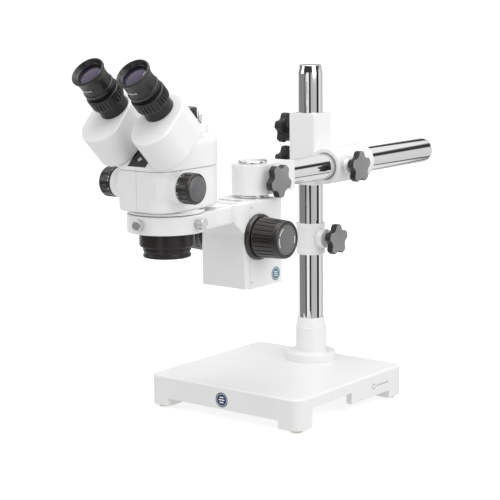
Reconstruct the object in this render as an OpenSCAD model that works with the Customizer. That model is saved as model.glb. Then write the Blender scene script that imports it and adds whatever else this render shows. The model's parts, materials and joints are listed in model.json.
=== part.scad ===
// Stereo zoom microscope on a single-arm boom stand.
// Millimetres. Origin on the table under the middle of the base,
// +X to the operator's right, +Y to the back, +Z up. The operator sits on the -Y side.

/* [Base] */
// Width of the base casting, left to right
base_w = 234; // [220:1:250]
// Depth of the base casting, front to back
base_d = 230; // [220:1:240]
// Height of the base's top face above the table
base_top = 42.5; // [40:0.5:46]
// Radius of the base's vertical corners
base_corner_r = 12; // [6:1:14]
// Thickness of the base's top plate
base_plate = 14; // [12:0.5:14.5]
// Thickness of the base's side walls
base_wall = 8; // [6:0.5:10]

/* [Column and boom] */
// Diameter of the column and of the boom arm
bar_d = 32; // [31.5:0.1:32.5]
// Distance of the column's axis behind the middle of the base
column_y = 73.7; // [70:0.1:76]
// Height of the column's top end
column_top = 427; // [420:1:450]
// Sideways distance from the column's axis to the boom's axis
arm_x = 35.7; // [35.5:0.1:37]
// Height of the boom's axis
arm_z = 300.3; // [300:0.1:301]
// Rear end of the boom arm
arm_rear = 291.6; // [280:0.2:300]

/* [Cross clamp] */
// Half width of the column block
block_half = 20.5; // [20:0.5:22]
// Lower and upper face of the column block
block_z = [274, 366];
// Outer diameter of the boom sleeve
sleeve_d = 46; // [44:1:48]
// Length of the boom sleeve
sleeve_l = 79; // [70:1:84]

/* [Focus unit] */
// Distance of the pivot pin in front of the middle of the base
pin_front = 94.4; // [94:0.1:96]
// Half width of the focus housing and the head holder
focus_half = 32.5; // [32:0.5:34]
// Height of the focus knobs' axis
focus_z = 237; // [235:1:238]
// Module of the rack and pinion teeth
tooth_module = 1; // [0.9:0.05:1]
// Number of pinion teeth
focus_teeth = 13; // [12:1:13]

/* [Microscope head] */
// Distance of the head's vertical axis in front of the middle of the base
head_front = 253.3; // [253:0.1:254]
// Bore of the holder ring
ring_bore_d = 76.1; // [76.1:0.1:76.2]
// Outer diameter of the holder ring
ring_od = 89.3; // [88:0.1:91]
// Height of the seam between the head's body and its top cover
seam_z = 329.8; // [329.5:0.1:331]
// Height of the flat roof of the top cover
roof_z = 366; // [364:1:367]
// Height of the zoom knobs' axis
zoom_z = 312; // [311.5:0.1:312.1]

/* [Eyepieces] */
// Angle between the eyetubes and the table
tube_tilt = 45; // [44:0.5:46]
// Distance between the two eyepiece axes
pupil_distance = 65; // [64:0.5:66]
// Outer diameter of the eyetubes
eyetube_d = 34; // [34:0.1:34.4]
// Outer diameter of the eyepiece barrels
eyepiece_d = 30; // [30:0.1:30.1]

/* [Hidden] */

$fn = 96;
// Small overlap that makes a cut pass cleanly through a face
e = 0.5;
// Radial clearance of a running fit
fit = 0.05;
// Clearance between faces of parts that move past each other
gap = 0.3;

bar_r = bar_d / 2;
white = [0.93, 0.93, 0.92];
black = [0.09, 0.085, 0.08];
steel = [0.75, 0.75, 0.77];
grey = [0.45, 0.45, 0.46];
glass = [0.55, 0.6, 0.75];
brass = [0.72, 0.58, 0.3];

// Base
foot_h = 4;
foot_r = 7.5;
foot_x = 104;
foot_y = 101;
stem_r = 4.5;
leg_x = 86;
leg_front = -88;
leg_rear = 82;
skirt_z = 14;
notch_rear = -3;
plate_z = base_top - base_plate;
flange_r = 32.5;
flange_top = 53;
socket_top = 87;
socket_r = 20;
ring_top = 98.5;
screw_circle = 26;
screw_r = 2.5;
// How far the base screws reach into the flange
screw_bite = 7.5;

// Stop collar
collar_z = [182.5, 223];
collar_screw_z = 204;

// Star knobs: a disc with five round scallops, on an M6 stud
knob_r = 20;
knob_t = 10;
scallop_r = 8;
scallop_x = 22.6;
stud_r = 3;

// Cross clamp
liner_t = 1.2;
liner_r = bar_r + fit + liner_t;
sleeve_y = 55.4;
upper_screw_z = 344;
lower_screw_z = 301;

// Arm head and pivot pin
arm_front = -79;
head_r = 25.5;
head_half = 23;
head_z = [282.8, 318.6];
head_back = -41;
set_screw_y = [-70, -52];
pin_r = 12;

// Focus unit
housing_y = [-142.6, -80.9];
housing_z = [176, 278.5];
focus_y = -127;
dove_root = 14;
dove_tip = 18;
dove_back = -134;
slot_floor = housing_y[0] + 2.4;
pinion_r = tooth_module * focus_teeth / 2;
rack_back = focus_y - pinion_r - slot_floor;
shaft_r = 4;
tension_l = 6;
knob_start = focus_half + tension_l + 2 * gap;
knob_bore = 34;
shaft_half = knob_start + knob_bore;
bush_r = 7;
bush_l = 12;
ring_knob_r = 27.5;
plate_y = [-152.7, housing_y[0] - 0.2];
holder_top = 279;
ring_bottom = 258.2;
ring_screw_z = 269.5;
gusset_bottom = 239;
front_screw_gap = 0.8;
side_screw_gap = 3.5;

// Head
ring_r = ring_od / 2;
bore_r = ring_bore_d / 2;
spigot_r = bore_r - fit;
spigot_bottom = ring_bottom + 0.6;
pod_r = 38;
pod_back_y = -222.7;
pod_front_y = -303;
pod_corner_r = 22;
pod_bottom = 284;
shell = 3;
zoom_y = -277;
fairing_l = 48.5;
zoom_knob_r = 17.3;
zoom_teeth = 12;
zoom_module = 0.6;
zoom_pitch_r = zoom_teeth * zoom_module / 2;
zoom_shaft_r = 2.5;
zoom_half = fairing_l + gap + 17;
rod_x = 26;
rod_y = -240;
rod_r = 2;
port_y = -221;
port_r = 27;
cover_wall = 7;

// Eyepiece barrels, laid out along the tube axis from the barrel's end face
tube_y = -299.8;
tube_z = 398;
barrel_l = 43;
barrel_r = 26;
upper_off = [5, -2];
lower_off = [4, -24];
ipd_off = [-9, -24];
ipd_boss_r = 9;
light_r = 6.5;
eyepiece_r = eyepiece_d / 2;

// ---------- shared shapes ----------

// Upright block with round vertical corners, centred on the origin
module round_block(w, d, h, r) {
    translate([-w / 2 + r, -d / 2, 0]) cube([w - 2 * r, d, h]);
    translate([-w / 2, -d / 2 + r, 0]) cube([w, d - 2 * r, h]);
    for (sx = [-1, 1], sy = [-1, 1])
        translate([sx * (w / 2 - r), sy * (d / 2 - r), 0]) cylinder(r = r, h = h);
}

module ring(ro, ri, h) {
    difference() {
        cylinder(r = ro, h = h);
        translate([0, 0, -e]) cylinder(r = ri, h = h + 2 * e);
    }
}

// Box from one corner to the opposite one
module block(lo, hi) {
    translate(lo) cube(hi - lo);
}

module along_x(x, y, z) {
    translate([x, y, z]) rotate([0, 90, 0]) children();
}

module along_y(x, y, z) {
    translate([x, y, z]) rotate([-90, 0, 0]) children();
}

// Star knob on its stud. z = 0 is the knob's inner face, the stud points to -z,
// and one of the five lobes is centred at the angle turn.
module star_knob(stud_l, turn) {
    difference() {
        cylinder(r = knob_r, h = knob_t);
        for (i = [0:4])
            rotate([0, 0, turn + 36 + 72 * i]) translate([scallop_x, 0, -e])
                cylinder(r = scallop_r, h = knob_t + 2 * e, $fn = 48);
    }
    translate([0, 0, -4]) cylinder(r = 6.5, h = 4);
    translate([0, 0, -stud_l]) cylinder(r = stud_r, h = stud_l);
}

// Pinion outline: teeth with straight flanks, thinned for backlash
function pinion_points(teeth, m, r) = [
    for (i = [0:teeth - 1])
        for (c = [[-1.65, -1.2], [-0.62, 0.85], [0.62, 0.85], [1.65, -1.2]])
            let (rad = r + c[1] * m, a = 360 * i / teeth + c[0] * 180 / (teeth * PI) * 1.15)
                [rad * cos(a), rad * sin(a)]
];

module pinion(teeth, m, h) {
    linear_extrude(h) polygon(pinion_points(teeth, m, teeth * m / 2));
}

// Rack profile: teeth point to +x, pitch line on x = 0, runs along y
function rack_points(m, n, back) = concat(
    [[-back, -n * PI * m / 2]],
    [for (i = [-(n - 1) / 2:(n - 1) / 2])
        for (c = [[-1.2, -1.06], [0.85, -0.3], [0.85, 0.3], [-1.2, 1.06]])
            [c[0] * m, i * PI * m + c[1] * m]],
    [[-back, n * PI * m / 2]]
);

module rack(m, n, back, w) {
    linear_extrude(w) polygon(rack_points(m, n, back));
}

// ---------- stand ----------

module base_casting() color(white) difference() {
    translate([0, 0, foot_h]) round_block(base_w, base_d, base_top - foot_h, base_corner_r);
    block([-leg_x, -base_d / 2 + base_wall, 0], [leg_x, base_d / 2 - base_wall, plate_z]);
    block([-base_w / 2 + base_wall, leg_front, 0], [base_w / 2 - base_wall, leg_rear, plate_z]);
    block([-leg_x, -base_d / 2 - e, 0], [leg_x, base_d / 2 + e, skirt_z]);
    block([-base_w / 2 - e, leg_front, 0], [base_w / 2 + e, leg_rear, skirt_z]);
    block([-base_w / 2 - e, leg_front, 0], [base_w / 2 + e, notch_rear, plate_z]);
    for (sx = [-1, 1], sy = [-1, 1])
        translate([sx * foot_x, sy * foot_y, 0]) cylinder(r = stem_r, h = foot_h + 6);
    for (i = [0:3])
        translate([0, column_y, 0]) rotate([0, 0, 45 + 90 * i]) translate([screw_circle, 0, 0])
            cylinder(r = screw_r + 0.25, h = base_top + e);
}

module rubber_feet() color([0.72, 0.7, 0.62])
    for (sx = [-1, 1], sy = [-1, 1])
        translate([sx * foot_x, sy * foot_y, 0]) {
            cylinder(r = foot_r, h = foot_h);
            cylinder(r = stem_r, h = foot_h + 6);
        }

module base_screws() color(steel)
    for (i = [0:3])
        translate([0, column_y, 0]) rotate([0, 0, 45 + 90 * i]) translate([screw_circle, 0, 0]) {
            translate([0, 0, plate_z - 5]) cylinder(r = 4.25, h = 5);
            translate([0, 0, plate_z - e]) cylinder(r = screw_r, h = base_plate + screw_bite + e);
        }

module column_flange() color(white) translate([0, column_y, 0]) difference() {
    union() {
        translate([0, 0, base_top]) cylinder(r = flange_r, h = flange_top - base_top);
        translate([0, 0, base_top]) cylinder(r = socket_r, h = socket_top - base_top);
        translate([0, 0, socket_top]) cylinder(r1 = 19.4, r2 = 17.4, h = ring_top - socket_top);
    }
    translate([0, 0, base_top - e]) cylinder(r = bar_r, h = 80);
    for (i = [0:3])
        rotate([0, 0, 45 + 90 * i]) translate([screw_circle, 0, base_top - e])
            cylinder(r = screw_r, h = screw_bite + e);
}

module column_post() color(steel) translate([0, column_y, 0]) {
    translate([0, 0, base_top]) cylinder(r = bar_r, h = column_top - 10 - base_top);
    translate([0, 0, column_top - 10]) cylinder(r1 = bar_r, r2 = bar_r - 2, h = 10);
}

// ---------- stop collar ----------

module stop_collar() color(white) translate([0, column_y, 0]) difference() {
    union() {
        translate([0, 0, collar_z[0]]) cylinder(r = 18, h = collar_z[1] - collar_z[0]);
        for (z = [collar_z[0], collar_z[1] - 6])
            translate([0, 0, z]) cylinder(r = 18.7, h = 6);
        along_x(0, 0, collar_screw_z) cylinder(r = 12.5, h = 25.6);
    }
    translate([0, 0, collar_z[0] - e])
        cylinder(r = bar_r + fit, h = collar_z[1] - collar_z[0] + 2 * e);
    along_x(bar_r, 0, collar_screw_z) cylinder(r = stud_r + fit, h = 12);
}

module collar_knob() color(black)
    along_x(36, column_y, collar_screw_z) star_knob(36 - bar_r - 2 * gap, 180);

// ---------- cross clamp ----------

module column_liner() color(grey)
    translate([0, column_y, block_z[0] + 0.5])
        ring(liner_r, bar_r + fit, block_z[1] - block_z[0] - 1);

module cross_clamp() color(white) difference() {
    union() {
        translate([0, column_y, block_z[0]])
            round_block(2 * block_half, 38, block_z[1] - block_z[0], 3);
        along_y(arm_x, sleeve_y, arm_z) cylinder(r = sleeve_d / 2, h = sleeve_l);
        along_x(-26, column_y, upper_screw_z) cylinder(r = 8, h = 12);
        along_x(-26, column_y, lower_screw_z) cylinder(r = 8, h = 12);
        along_x(arm_x + 17, column_y, arm_z) cylinder(r = 9, h = 10);
    }
    translate([0, column_y, block_z[0] - e])
        cylinder(r = liner_r + fit, h = block_z[1] - block_z[0] + 2 * e);
    along_y(arm_x, sleeve_y - e, arm_z) cylinder(r = liner_r + fit, h = sleeve_l + 2 * e);
    along_x(-30, column_y, upper_screw_z) cylinder(r = stud_r + fit, h = 14);
    along_x(-30, column_y, lower_screw_z) cylinder(r = stud_r + fit, h = 14);
    along_x(arm_x + 16, column_y, arm_z) cylinder(r = stud_r + fit, h = 14);
}

module block_knob(z) {
    translate([-34, column_y, z]) rotate([0, -90, 0])
        star_knob(34 - liner_r - 2 * gap, 0);
}

module upper_clamp_knob() color(black) block_knob(upper_screw_z);

module lower_clamp_knob() color(black) block_knob(lower_screw_z);

module arm_clamp_knob() color(black)
    along_x(71, column_y, arm_z) star_knob(71 - arm_x - liner_r - 2 * gap, 180);

// ---------- boom arm ----------

module arm_liner() color(grey)
    along_y(arm_x, sleeve_y + 0.5, arm_z) ring(liner_r, bar_r + fit, sleeve_l - 1);

module boom_arm() color(steel) along_y(arm_x, arm_front, arm_z)
    rotate_extrude() polygon(concat(
        [[0, 0], [bar_r, 0]],
        [for (a = [0:15:90])
            [bar_r - 4 + 4 * cos(a), arm_rear - arm_front - 4 + 4 * sin(a)]],
        [[0, arm_rear - arm_front]]
    ));

module arm_head() color(white) difference() {
    union() {
        translate([arm_x, -pin_front, head_z[0]]) cylinder(r = head_r, h = head_z[1] - head_z[0]);
        block([arm_x - head_half, -pin_front, head_z[0]], [arm_x + head_half, head_back, head_z[1]]);
    }
    translate([arm_x, -pin_front, head_z[0] - e])
        cylinder(r = pin_r + fit, h = head_z[1] - head_z[0] + 2 * e);
    along_y(arm_x, arm_front, arm_z) cylinder(r = bar_r, h = 60);
    along_x(arm_x + pin_r, -pin_front, arm_z) cylinder(r = stud_r + fit, h = 30);
    for (y = set_screw_y)
        along_x(arm_x - head_half - e, y, arm_z) cylinder(r = 2.5, h = head_half - bar_r + 2 * e);
}

module arm_set_screws() color(steel)
    for (y = set_screw_y)
        along_x(arm_x - head_half + 0.8, y, arm_z) cylinder(r = 2.5, h = head_half - bar_r - 0.8);

module head_lock_knob() color(black)
    along_x(70, -pin_front, arm_z) star_knob(70 - arm_x - pin_r - 2 * gap, 0);

// ---------- focus unit ----------

module pivot_pin() color(steel) translate([arm_x, -pin_front, 0]) {
    translate([0, 0, housing_z[1] - 15]) cylinder(r = 8, h = 16);
    translate([0, 0, housing_z[1]]) cylinder(r = 19, h = 2.5);
    translate([0, 0, housing_z[1]]) cylinder(r = 16, h = head_z[0] - gap - housing_z[1]);
    translate([0, 0, housing_z[1]]) cylinder(r = pin_r, h = head_z[1] + gap - housing_z[1]);
}

module pin_cap() color(steel) translate([arm_x, -pin_front, head_z[1] + gap]) {
    cylinder(r = 17.5, h = 2.8);
    translate([0, 0, 2.8]) cylinder(r1 = 17.5, r2 = 16.7, h = 0.7);
}

module dovetail_profile(grow) {
    polygon([
        [-dove_root - grow, 0], [dove_root + grow, 0],
        [dove_tip + grow, dove_back - housing_y[0] + grow],
        [-dove_tip - grow, dove_back - housing_y[0] + grow],
    ]);
}

module focus_housing() color(white) difference() {
    block([arm_x - focus_half, housing_y[0], housing_z[0]],
          [arm_x + focus_half, housing_y[1], housing_z[1]]);
    translate([arm_x, housing_y[0], housing_z[0] - e])
        linear_extrude(housing_z[1] - housing_z[0] + 2 * e) dovetail_profile(0.2);
    block([arm_x - focus_half - e, housing_y[0] - e, housing_z[0] - e],
          [arm_x + focus_half + e, housing_y[0], housing_z[1] + e]);
    along_x(arm_x - focus_half - e, focus_y, focus_z) cylinder(r = shaft_r + 1, h = 2 * focus_half + 2 * e);
    along_x(arm_x - focus_half - e, focus_y, focus_z) cylinder(r = bush_r, h = bush_l + e);
    along_x(arm_x + focus_half - bush_l, focus_y, focus_z) cylinder(r = bush_r, h = bush_l + e);
    along_x(arm_x - 7, focus_y, focus_z) cylinder(r = pinion_r + 2.5, h = 14);
    block([arm_x - 4.6, dove_back - 1, housing_z[0] - e],
          [arm_x + 4.6, focus_y - pinion_r + 1.6 * tooth_module, housing_z[1] + e]);
    translate([arm_x, -pin_front, housing_z[1] - 15]) cylinder(r = 8, h = 16);
}

module pinion_bushes() color(brass)
    for (x = [arm_x - focus_half, arm_x + focus_half - bush_l])
        along_x(x, focus_y, focus_z) ring(bush_r, shaft_r + fit, bush_l);

module tension_ring() color(black)
    along_x(arm_x + focus_half + gap, focus_y, focus_z) difference() {
        union() {
            cylinder(r = ring_knob_r, h = 3);
            translate([0, 0, 3]) cylinder(r1 = ring_knob_r, r2 = 25.5, h = 3);
        }
        translate([0, 0, -e]) cylinder(r = shaft_r + fit, h = 8);
    }

module pinion_shaft() color(steel) {
    along_x(arm_x - shaft_half, focus_y, focus_z) cylinder(r = shaft_r, h = 2 * shaft_half);
    along_x(arm_x - 4, focus_y, focus_z) rotate([0, 0, 90 + 180 / focus_teeth])
        pinion(focus_teeth, tooth_module, 8);
}

// Ribbed focus knob, z = 0 at its inner face
module focus_knob() {
    difference() {
        union() {
            cylinder(r = 23.8, h = knob_bore - 5);
            cylinder(r = 22.3, h = knob_bore + 2);
        }
        for (i = [0:23])
            rotate([0, 0, 15 * i]) translate([24.6, 0, 2]) cylinder(r = 1.5, h = knob_bore, $fn = 16);
        translate([0, 0, knob_bore + 0.5]) cylinder(r = 18.2, h = 2);
        translate([0, 0, -e]) cylinder(r = shaft_r, h = knob_bore + e);
    }
}

module focus_knob_right() color(black)
    along_x(arm_x + knob_start, focus_y, focus_z) focus_knob();

module focus_knob_left() color(black)
    translate([arm_x - focus_half - gap, focus_y, focus_z]) rotate([0, -90, 0]) {
        translate([0, 0, tension_l + gap]) focus_knob();
        difference() {
            cylinder(r1 = ring_knob_r, r2 = 25.5, h = tension_l + gap);
            translate([0, 0, -e]) cylinder(r = shaft_r, h = 8);
        }
    }

module focus_knob_caps() color(grey)
    for (s = [-1, 1])
        translate([arm_x + s * (knob_start + knob_bore + 0.5), focus_y, focus_z])
            rotate([0, s * 90, 0]) cylinder(r = 18.2, h = 1.2);

// Half width of the holder arm at a distance t (0..1) from the plate to the ring: waist, then flare
function arm_half(t) = 33 - 4.7 * exp(-pow((t - 0.176) / 0.12, 2)) + 4 * max(0, t - 0.7) / 0.3;

module holder_arm_outline() {
    n = 16;
    l = plate_y[0] + head_front - 25;
    polygon(concat(
        [for (i = [0:n]) [arm_half(i / n), -l * i / n]],
        [for (i = [n:-1:0]) [-arm_half(i / n), -l * i / n]]
    ));
}

module head_holder() color(white) difference() {
    union() {
        block([arm_x - focus_half, plate_y[0], housing_z[0] + 1],
              [arm_x + focus_half, plate_y[1], holder_top]);
        translate([arm_x, plate_y[0] + e, ring_bottom])
            linear_extrude(holder_top - ring_bottom) holder_arm_outline();
        intersection() {
            translate([arm_x, plate_y[0] + e, gusset_bottom])
                linear_extrude(holder_top - gusset_bottom) holder_arm_outline();
            translate([arm_x - focus_half - 1, plate_y[0], 0]) rotate([90, 0, 90])
                linear_extrude(2 * focus_half + 2)
                    polygon([
                        [1, gusset_bottom], [1, ring_bottom + 4], [-16, ring_bottom + 4],
                        [-15, ring_bottom], [-6, gusset_bottom + 10], [-1.5, gusset_bottom + 4],
                    ]);
        }
        translate([arm_x, -head_front, ring_bottom]) cylinder(r = ring_r, h = holder_top - ring_bottom);
    }
    translate([arm_x, -head_front, ring_bottom - e])
        cylinder(r = bore_r, h = holder_top - ring_bottom + 2 * e);
    translate([arm_x, -171, holder_top - 5]) round_block(50, 44, 6, 8);
    along_x(arm_x + bore_r - 2, -head_front, ring_screw_z) cylinder(r = 2.5 + fit, h = 20);
    translate([arm_x, -head_front - bore_r + 2, ring_screw_z]) rotate([90, 0, 0])
        cylinder(r = 2.5 + fit, h = 20);
}

module dovetail_slide() color(steel) difference() {
    translate([arm_x, plate_y[1], housing_z[0] + 1]) linear_extrude(holder_top - housing_z[0] - 1)
        union() {
            translate([0, 0.2]) dovetail_profile(0);
            translate([-dove_root, 0]) square([2 * dove_root, 1]);
        }
    block([arm_x - 5, slot_floor, housing_z[0]], [arm_x + 5, dove_back + 2, holder_top + e]);
}

module focus_rack() color(brass)
    translate([arm_x - 4, focus_y - pinion_r, focus_z - 2.5 * PI * tooth_module])
        rotate([0, 90, 0]) rotate([0, 0, 90])
            rack(tooth_module, 29, rack_back, 8);

// Knurled thumb screw, z = 0 at the bottom of its head, the stud points to -z
module thumb_screw(stud_l, head_l) {
    cylinder(r = 6.5, h = head_l);
    translate([0, 0, -stud_l]) cylinder(r = 2.5, h = stud_l);
}

module ring_screw_front() color(steel)
    translate([arm_x, -head_front - ring_r - front_screw_gap, ring_screw_z]) rotate([90, 0, 0])
        thumb_screw(ring_r + front_screw_gap - bore_r - gap, 6.4);

module ring_screw_side() color(steel)
    along_x(arm_x + ring_r + side_screw_gap, -head_front, ring_screw_z)
        thumb_screw(ring_r + side_screw_gap - bore_r - gap, 7.5);

// ---------- microscope head ----------

// Solid with the head's plan: a round back and round front corners
module pod_plan(z0, z1, inset) {
    translate([arm_x, 0, z0]) {
        translate([0, pod_back_y, 0]) cylinder(r = pod_r - inset, h = z1 - z0);
        translate([-pod_r + inset, pod_front_y + pod_corner_r, 0])
            cube([2 * (pod_r - inset), pod_back_y - pod_front_y - pod_corner_r, z1 - z0]);
        translate([-pod_r + pod_corner_r, pod_front_y + inset, 0])
            cube([2 * (pod_r - pod_corner_r), pod_corner_r + e, z1 - z0]);
        for (s = [-1, 1])
            translate([s * (pod_r - pod_corner_r), pod_front_y + pod_corner_r, 0])
                cylinder(r = pod_corner_r - inset, h = z1 - z0);
    }
}

module pod_body() color(white) difference() {
    union() {
        pod_plan(pod_bottom, seam_z, 0);
        along_x(arm_x - fairing_l, zoom_y, zoom_z) cylinder(r = 17.5, h = 2 * fairing_l);
    }
    pod_plan(pod_bottom + shell, seam_z + e, shell);
    translate([arm_x, -head_front, pod_bottom - e]) cylinder(r = 33, h = shell + 2 * e);
    along_x(arm_x - fairing_l - e, zoom_y, zoom_z) cylinder(r = zoom_shaft_r + fit, h = 2 * fairing_l + 2 * e);
    for (s = [-1, 1])
        translate([arm_x + s * rod_x, rod_y, pod_bottom + 0.5]) cylinder(r = rod_r, h = 4);
}

module pod_flange() color(white) translate([arm_x, -head_front, 0]) difference() {
    union() {
        translate([0, 0, spigot_bottom]) cylinder(r = spigot_r, h = pod_bottom - spigot_bottom);
        translate([0, 0, holder_top + gap]) cylinder(r = 43.2, h = 283 - holder_top - gap);
    }
    translate([0, 0, spigot_bottom - e]) cylinder(r = 33, h = pod_bottom - spigot_bottom + 2 * e);
}

module objective_mount() color(black) translate([arm_x, -head_front, 0]) difference() {
    union() {
        translate([0, 0, spigot_bottom]) cylinder(r = 33, h = 6);
        translate([0, 0, 241]) cylinder(r = 31.15, h = spigot_bottom + 0.5 - 241);
        translate([0, 0, 229]) cylinder(r = 27.25, h = 3);
        translate([0, 0, 229]) cylinder(r = 26.2, h = 13);
        translate([0, 0, 235]) cylinder(r = 27.25, h = 6.5);
    }
    translate([0, 0, 229 - e]) cylinder(r = 23.6, h = 8 + e);
    translate([0, 0, 236.5]) cylinder(r = 22, h = 7);
    for (s = [-1, 1])
        translate([s * 10.5, 0, 243]) cylinder(r = 9.5, h = 25);
}

module objective_lenses() color(glass) translate([arm_x, -head_front, 0])
    for (s = [-1, 1])
        translate([s * 10.5, 0, 245]) cylinder(r = 9.5, h = 6);

// Everything below and behind the sloping seat of the barrels, lowered by drop
module seat_side(drop) {
    k = tan(90 - tube_tilt);
    front_z = tube_z - (barrel_l + gap) / sin(tube_tilt) + (pod_front_y - tube_y) * k - drop;
    ridge_y = -253;
    ridge_z = front_z + (ridge_y - pod_front_y) * k;
    translate([arm_x - 60, 0, 0]) rotate([90, 0, 90]) linear_extrude(120) polygon([
        [pod_front_y - 6, seam_z - 12], [pod_front_y - 6, front_z - 6 * k],
        [ridge_y, ridge_z], [ridge_y + 8, ridge_z], [-228, roof_z - drop],
        [-180, roof_z - drop], [-180, seam_z - 12],
    ]);
}

module pod_cover() color(white) difference() {
    union() {
        intersection() {
            pod_plan(seam_z + 0.2, roof_z + 20, -0.8);
            seat_side(0);
        }
        for (s = [-1, 1])
            barrel_frame(s) translate([s * ipd_off[0], ipd_off[1], -barrel_l - gap - 2])
                cylinder(r = ipd_boss_r, h = 2 + gap + 2.5);
    }
    intersection() {
        pod_plan(seam_z - e, roof_z, shell);
        seat_side(cover_wall);
    }
    translate([arm_x, port_y, roof_z]) cylinder(r = port_r, h = 30);
    for (s = [-1, 1])
        barrel_frame(s) translate([s * ipd_off[0], ipd_off[1], -barrel_l - 40])
            cylinder(r = light_r, h = 60);
    translate([arm_x, port_y, seam_z]) cylinder(r = 12, h = 60);
    tube_frame() translate([-13, -46, -barrel_l - gap - 1.2]) cube([26, 40, 6]);
}

// Frame of one barrel: z along its tube axis, origin on the end face, x to the right, y up the slope
module tube_frame() {
    translate([arm_x, tube_y, tube_z]) rotate([90 - tube_tilt, 0, 0]) children();
}

module barrel_frame(s) {
    tube_frame() translate([s * pupil_distance / 2, 0, 0]) children();
}

module front_plate() color(black)
    tube_frame() translate([-13, -46, -barrel_l - gap - 1.2]) cube([26, 34, 0.9]);

module pod_screws() color(steel) {
    tube_frame() translate([0, -37, -barrel_l - gap - 0.3]) cylinder(r = 2.6, h = 1.6);
    for (s = [-1, 1])
        translate([arm_x + s * 20, pod_back_y + 20, pod_bottom - 0.8]) cylinder(r = 2.6, h = 0.8);
}

module photo_port() color(white) translate([arm_x, port_y, roof_z]) ring(port_r, 12, 10);

module photo_tube() color(black) difference() {
    translate([arm_x, port_y, roof_z + 10]) ring(15.5, 12, 14);
    port_screw_frame() translate([0, 0, 11]) cylinder(r = 2 + fit, h = 8);
}

module port_cap() color(black) translate([arm_x, port_y, roof_z + 24 + 0.1]) {
    cylinder(r = 15.5, h = 4);
    translate([0, 0, -8]) cylinder(r = 12 - fit, h = 9);
}

// Frame of the photo tube's clamp screw: z points out, to the right and back
module port_screw_frame() {
    translate([arm_x, port_y, roof_z + 17]) rotate([0, 0, 45]) rotate([0, 90, 0]) children();
}

module port_screw() color(steel) port_screw_frame() {
    translate([0, 0, 16.5]) cylinder(r = 6.5, h = 4);
    translate([0, 0, 12 + gap]) cylinder(r = 2, h = 5);
}

// ---------- zoom drive ----------

module zoom_shaft() color(steel) {
    along_x(arm_x - zoom_half, zoom_y, zoom_z) cylinder(r = zoom_shaft_r, h = 2 * zoom_half);
    for (x = [-24, 20])
        along_x(arm_x + x, zoom_y, zoom_z) rotate([0, 0, 90])
            pinion(zoom_teeth, zoom_module, 4);
}

module zoom_knob() {
    difference() {
        union() {
            cylinder(r1 = zoom_knob_r - 0.6, r2 = zoom_knob_r, h = 2);
            translate([0, 0, 2]) cylinder(r = zoom_knob_r, h = 13);
            translate([0, 0, 15]) cylinder(r1 = zoom_knob_r, r2 = 14, h = 3);
            translate([0, 0, 18]) cylinder(r1 = 14, r2 = 10, h = 1.6);
        }
        for (i = [0:11])
            rotate([0, 0, 30 * i]) translate([zoom_knob_r, 0, 3]) cylinder(r = 1.5, h = 13, $fn = 16);
        translate([0, 0, -e]) cylinder(r = zoom_shaft_r, h = 17.5);
    }
}

module zoom_knob_right() color(black)
    along_x(arm_x + fairing_l + gap, zoom_y, zoom_z) zoom_knob();

module zoom_knob_left() color(black)
    translate([arm_x - fairing_l - gap, zoom_y, zoom_z]) rotate([0, -90, 0]) zoom_knob();

// Lens carrier on the guide rods, with two lens cells
module lens_carrier(z) {
    difference() {
        translate([arm_x, rod_y - 6, z]) round_block(62, 26, 6, 5);
        for (s = [-1, 1]) {
            translate([arm_x + s * rod_x, rod_y, z - e]) cylinder(r = rod_r + fit, h = 7);
            translate([arm_x + s * 10.5, -head_front, z - e]) cylinder(r = 7, h = 7);
        }
    }
    for (s = [-1, 1])
        translate([arm_x + s * 10.5, -head_front, z + 1]) cylinder(r = 7, h = 4);
}

module upper_lens_group() color(grey) {
    lens_carrier(336);
    translate([arm_x + 20, zoom_y + zoom_pitch_r, zoom_z]) rotate([0, 90, 0]) rotate([0, 0, -90])
        rack(zoom_module, 14, 4, 4);
    block([arm_x + 20, zoom_y + zoom_pitch_r + 3, zoom_z - 13], [arm_x + 24, -262, 342]);
    block([arm_x + 20, -263, 336], [arm_x + 24, -255, 342]);
}

module lower_lens_group() color(grey) {
    lens_carrier(306);
    translate([arm_x - 24, zoom_y - zoom_pitch_r, zoom_z]) rotate([0, 90, 0]) rotate([0, 0, 90])
        rack(zoom_module, 14, 4, 4);
    difference() {
        block([arm_x - 28, -286, 297], [arm_x - 24.3, -262, 327]);
        block([arm_x - 30, zoom_y - zoom_shaft_r - 0.6, zoom_z - 12.5],
              [arm_x - 22, zoom_y + zoom_shaft_r + 0.6, zoom_z + 12.5]);
    }
    block([arm_x - 28, -263, 306], [arm_x - 24.3, -255, 312]);
    block([arm_x - 28, -286, 299], [arm_x - 20, zoom_y - zoom_pitch_r - 3.5, 325]);
}

module guide_rods() color(steel)
    for (s = [-1, 1])
        translate([arm_x + s * rod_x, rod_y, pod_bottom + 0.5]) cylinder(r = rod_r, h = 68);

// ---------- barrels, eyetubes and eyepieces ----------

// Stadium outline of a barrel for side s, between its upper and lower centre
module barrel_solid(s, r, z0, z1) {
    up = [s * upper_off[0], upper_off[1]];
    low = [s * lower_off[0], lower_off[1]];
    d = up - low;
    translate([up[0], up[1], z0]) cylinder(r = r, h = z1 - z0);
    translate([low[0], low[1], z0]) cylinder(r = r, h = z1 - z0);
    translate([low[0], low[1], z0]) rotate([0, 0, -atan2(d[0], d[1])])
        translate([-r, 0, 0]) cube([2 * r, norm(d), z1 - z0]);
}

module prism_housing(s) {
    barrel_frame(s) difference() {
        barrel_solid(s, barrel_r, -barrel_l, 0);
        barrel_solid(s, barrel_r - shell, -barrel_l + shell, -shell);
        cylinder(r = 16, h = 20, center = true);
        translate([s * ipd_off[0], ipd_off[1], -barrel_l - e]) cylinder(r = ipd_boss_r + fit, h = 8);
    }
}

module prism_housing_right() color(white) prism_housing(1);

module prism_housing_left() color(white) prism_housing(-1);

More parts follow.
